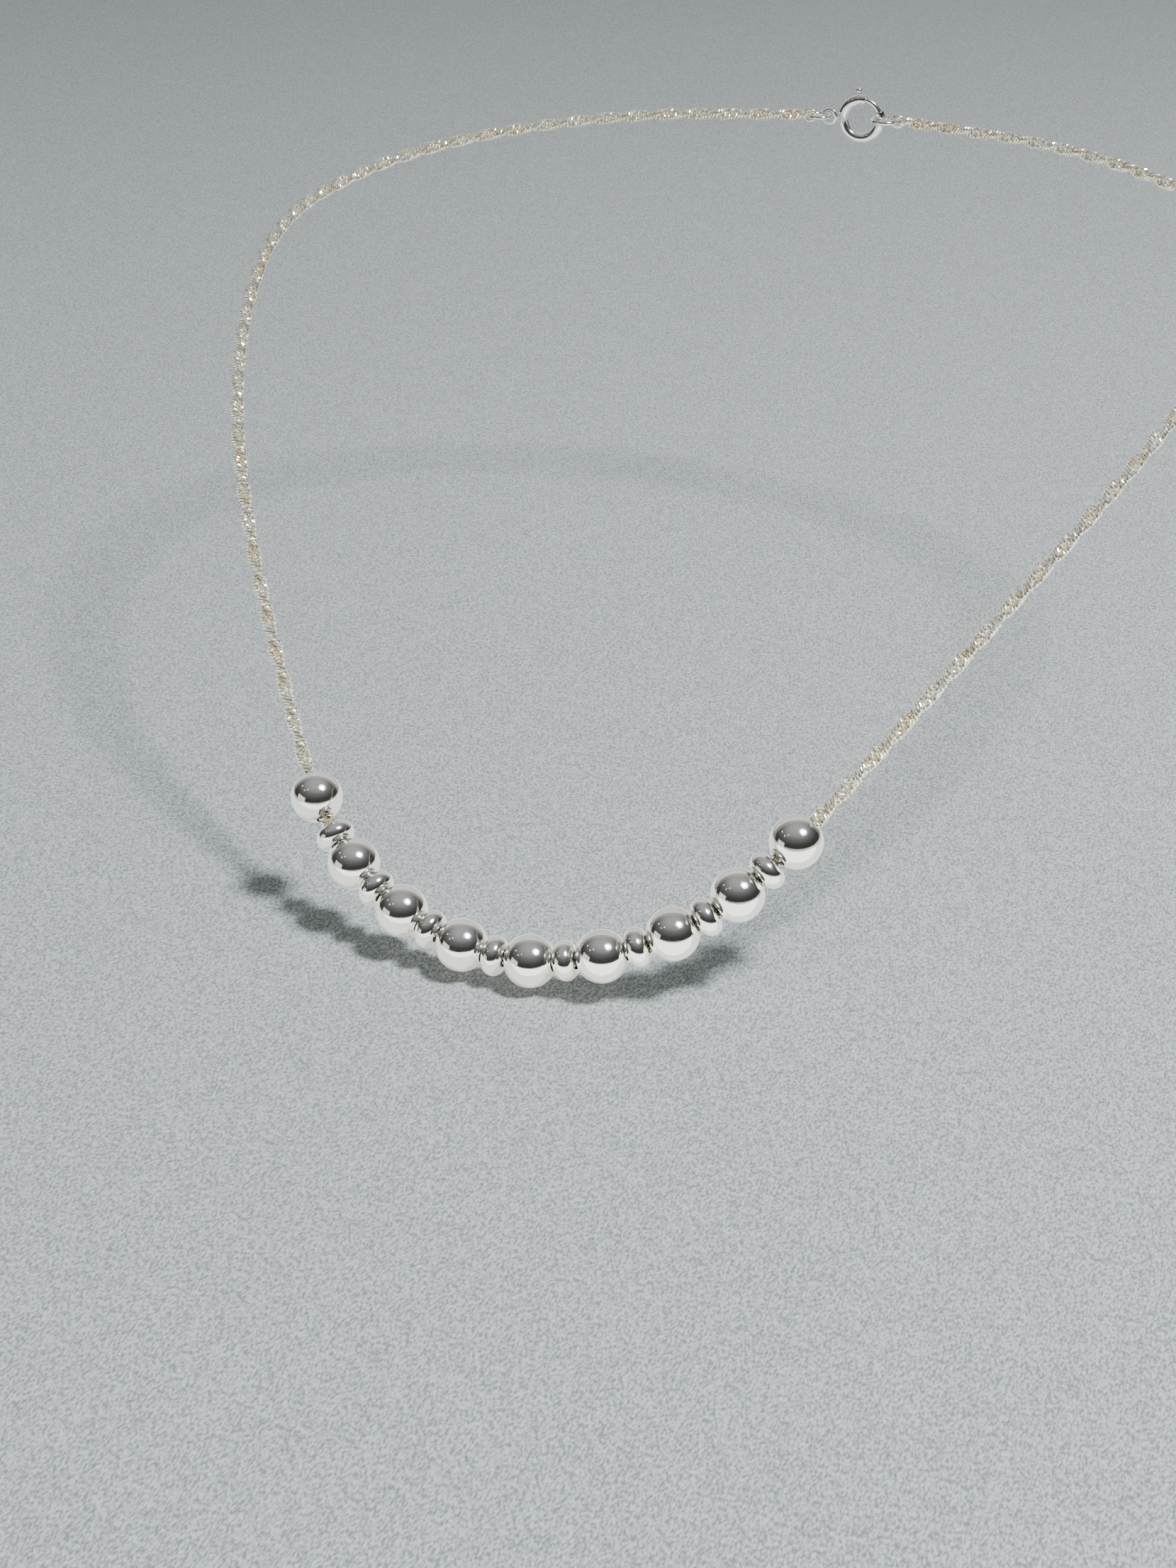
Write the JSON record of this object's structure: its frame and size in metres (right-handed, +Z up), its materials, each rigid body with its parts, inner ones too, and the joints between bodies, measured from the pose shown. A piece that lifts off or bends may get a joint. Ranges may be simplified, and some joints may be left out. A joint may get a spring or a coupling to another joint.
{
  "type": "chain necklace",
  "caption": "Twisted curb chain necklace in polished silver, with a row of hollow balls and rondelles strung at the front and a spring ring clasp at the nape, in its worn shape.",
  "frame": {"origin": "midway between the two places where the chain passes over the shoulders", "axes": "+Z up, -Y towards the wearer's front where the beads hang, +X towards the wearer's left, which is the right of someone facing the necklace"},
  "size_m": [0.1316, 0.1468, 0.0704],
  "materials": {
    "bead_silver": "mirror polished silver",
    "chain_silver": "bright drawn silver wire",
    "clasp_silver": "polished silver",
    "silicone": "matt translucent silicone",
    "spring_steel": "plain spring wire"
  },
  "bodies": {
    "back": {"chain_back_right": "chain_silver", "chain_back_left": "chain_silver", "end_link_left": "chain_silver", "end_link_right": "chain_silver", "clasp_eye": "clasp_silver", "clasp_tube": "clasp_silver", "clasp_spring": "spring_steel"},
    "front": {"chain_front": "chain_silver"},
    "stopper_left": {"ball_1": "bead_silver", "sleeve_left": "silicone"},
    "ball_2": {"ball_2": "bead_silver"},
    "ball_3": {"ball_3": "bead_silver"},
    "ball_4": {"ball_4": "bead_silver"},
    "ball_5": {"ball_5": "bead_silver"},
    "ball_6": {"ball_6": "bead_silver"},
    "ball_7": {"ball_7": "bead_silver"},
    "ball_8": {"ball_8": "bead_silver"},
    "stopper_right": {"ball_9": "bead_silver", "sleeve_right": "silicone"},
    "rondelle_1": {"rondelle_1": "bead_silver"},
    "rondelle_2": {"rondelle_2": "bead_silver"},
    "rondelle_3": {"rondelle_3": "bead_silver"},
    "rondelle_4": {"rondelle_4": "bead_silver"},
    "rondelle_5": {"rondelle_5": "bead_silver"},
    "rondelle_6": {"rondelle_6": "bead_silver"},
    "rondelle_7": {"rondelle_7": "bead_silver"},
    "rondelle_8": {"rondelle_8": "bead_silver"},
    "ring_left": {"ring_left": "clasp_silver"},
    "ring_right": {"ring_right": "clasp_silver"},
    "bolt": {"clasp_bolt": "clasp_silver"}
  },
  "joints": [
    {"name": "front_swing", "type": "hinge", "parent": "back", "child": "front", "pos_m": [0, 0, 0.00038], "axis": [-1, 0, 0], "range_deg": [0, 75]},
    {"name": "stopper_left_slide", "type": "slide", "parent": "front", "child": "stopper_left", "axis": [-0.5983, 0.5429, 0.5893], "range_m": [0, 0.0015]},
    {"name": "ball_2_spin", "type": "hinge", "parent": "front", "child": "ball_2", "pos_m": [-0.02026, -0.08738, -0.0513], "axis": [0.7872, -0.4085, -0.462], "continuous": true},
    {"name": "ball_3_spin", "type": "hinge", "parent": "front", "child": "ball_3", "pos_m": [-0.01314, -0.09021, -0.05454], "axis": [0.9105, -0.267, -0.3157], "continuous": true},
    {"name": "ball_4_spin", "type": "hinge", "parent": "front", "child": "ball_4", "pos_m": [-0.00521, -0.09174, -0.05654], "axis": [0.9819, -0.0997, -0.161], "continuous": true},
    {"name": "ball_5_spin", "type": "hinge", "parent": "front", "child": "ball_5", "pos_m": [0.00309, -0.09191, -0.05683], "axis": [0.9926, 0.0596, 0.1057], "continuous": true},
    {"name": "ball_6_spin", "type": "hinge", "parent": "front", "child": "ball_6", "pos_m": [0.01116, -0.09074, -0.05518], "axis": [0.9346, 0.2257, 0.275], "continuous": true},
    {"name": "ball_7_spin", "type": "hinge", "parent": "front", "child": "ball_7", "pos_m": [0.01853, -0.08822, -0.05225], "axis": [0.8242, 0.3743, 0.4249], "continuous": true},
    {"name": "ball_8_spin", "type": "hinge", "parent": "front", "child": "ball_8", "pos_m": [0.02473, -0.08452, -0.04811], "axis": [0.6589, 0.5072, 0.5555], "continuous": true},
    {"name": "stopper_right_slide", "type": "slide", "parent": "front", "child": "stopper_right", "axis": [0.5336, 0.5748, 0.6205], "range_m": [0, 0.0015]},
    {"name": "rondelle_1_slide", "type": "slide", "parent": "front", "child": "rondelle_1", "axis": [-0.6974, 0.48, 0.5323], "range_m": [0, 0.0011]},
    {"name": "rondelle_2_spin", "type": "hinge", "parent": "front", "child": "rondelle_2", "pos_m": [-0.01682, -0.08894, -0.05307], "axis": [0.8562, -0.3398, -0.3892], "continuous": true},
    {"name": "rondelle_3_spin", "type": "hinge", "parent": "front", "child": "rondelle_3", "pos_m": [-0.00924, -0.09115, -0.05569], "axis": [0.9538, -0.1823, -0.2386], "continuous": true},
    {"name": "rondelle_4_spin", "type": "hinge", "parent": "front", "child": "rondelle_4", "pos_m": [-0.00107, -0.09199, -0.05698], "axis": [0.999, -0.021, -0.0404], "continuous": true},
    {"name": "rondelle_5_spin", "type": "hinge", "parent": "front", "child": "rondelle_5", "pos_m": [0.00719, -0.09149, -0.05617], "axis": [0.9693, 0.1386, 0.2032], "continuous": true},
    {"name": "rondelle_6_spin", "type": "hinge", "parent": "front", "child": "rondelle_6", "pos_m": [0.01496, -0.08963, -0.05387], "axis": [0.8856, 0.3032, 0.3519], "continuous": true},
    {"name": "rondelle_7_spin", "type": "hinge", "parent": "front", "child": "rondelle_7", "pos_m": [0.02181, -0.08651, -0.05032], "axis": [0.7445, 0.4441, 0.4985], "continuous": true},
    {"name": "rondelle_8_spin", "type": "hinge", "parent": "front", "child": "rondelle_8", "pos_m": [0.02733, -0.08232, -0.04572], "axis": [0.5854, 0.5493, 0.5963], "continuous": true},
    {"name": "ring_left_spin", "type": "hinge", "parent": "back", "child": "ring_left", "pos_m": [-0.00515, 0.04964, 0.00596], "axis": [0, 0, 1], "continuous": true},
    {"name": "ring_right_spin", "type": "hinge", "parent": "back", "child": "ring_right", "pos_m": [0.0047, 0.04964, 0.00596], "axis": [0, 0, 1], "continuous": true},
    {"name": "clasp_bolt_slide", "type": "hinge", "parent": "back", "child": "bolt", "pos_m": [0.0012, 0.04964, 0.00596], "axis": [0, -1, 0], "range_deg": [0, 58], "stiffness_Nm_per_rad": 0.004, "springref_deg": -20.05}
  ]
}
